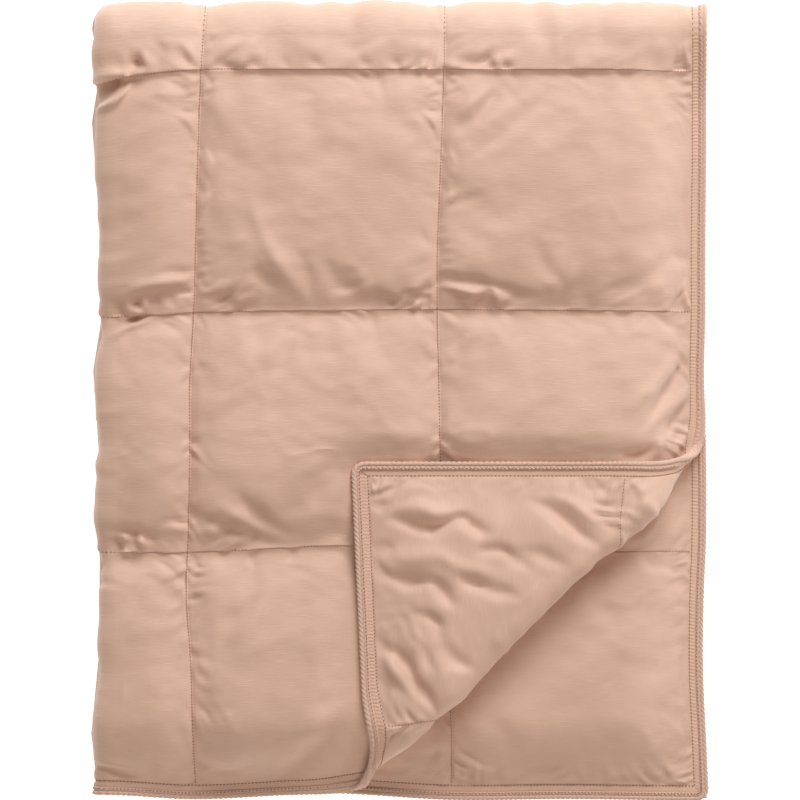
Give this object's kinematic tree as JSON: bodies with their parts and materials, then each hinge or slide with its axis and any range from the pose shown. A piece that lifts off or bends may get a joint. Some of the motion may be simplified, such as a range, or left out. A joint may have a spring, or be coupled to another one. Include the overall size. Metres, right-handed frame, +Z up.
{
  "type": "folded quilted throw blanket",
  "caption": "Quilted, filled throw blanket with a twill edge tape, folded in quarters with one corner of the top sheet turned back, lying flat.",
  "frame": {"origin": "middle of the folded packet's box, at the surface that it rests on", "axes": "+Z up, +Y along the packet towards the second fold, +X across it towards the free edges"},
  "size_m": [0.6572, 0.8518, 0.0928],
  "materials": {
    "quilt_cloth": "fine slubby cotton, soft sheen",
    "tape_twill": "herringbone cotton twill, matt"
  },
  "bodies": {
    "root": {"quilt": "quilt_cloth", "edge_tape": "tape_twill"}
  },
  "joints": []
}
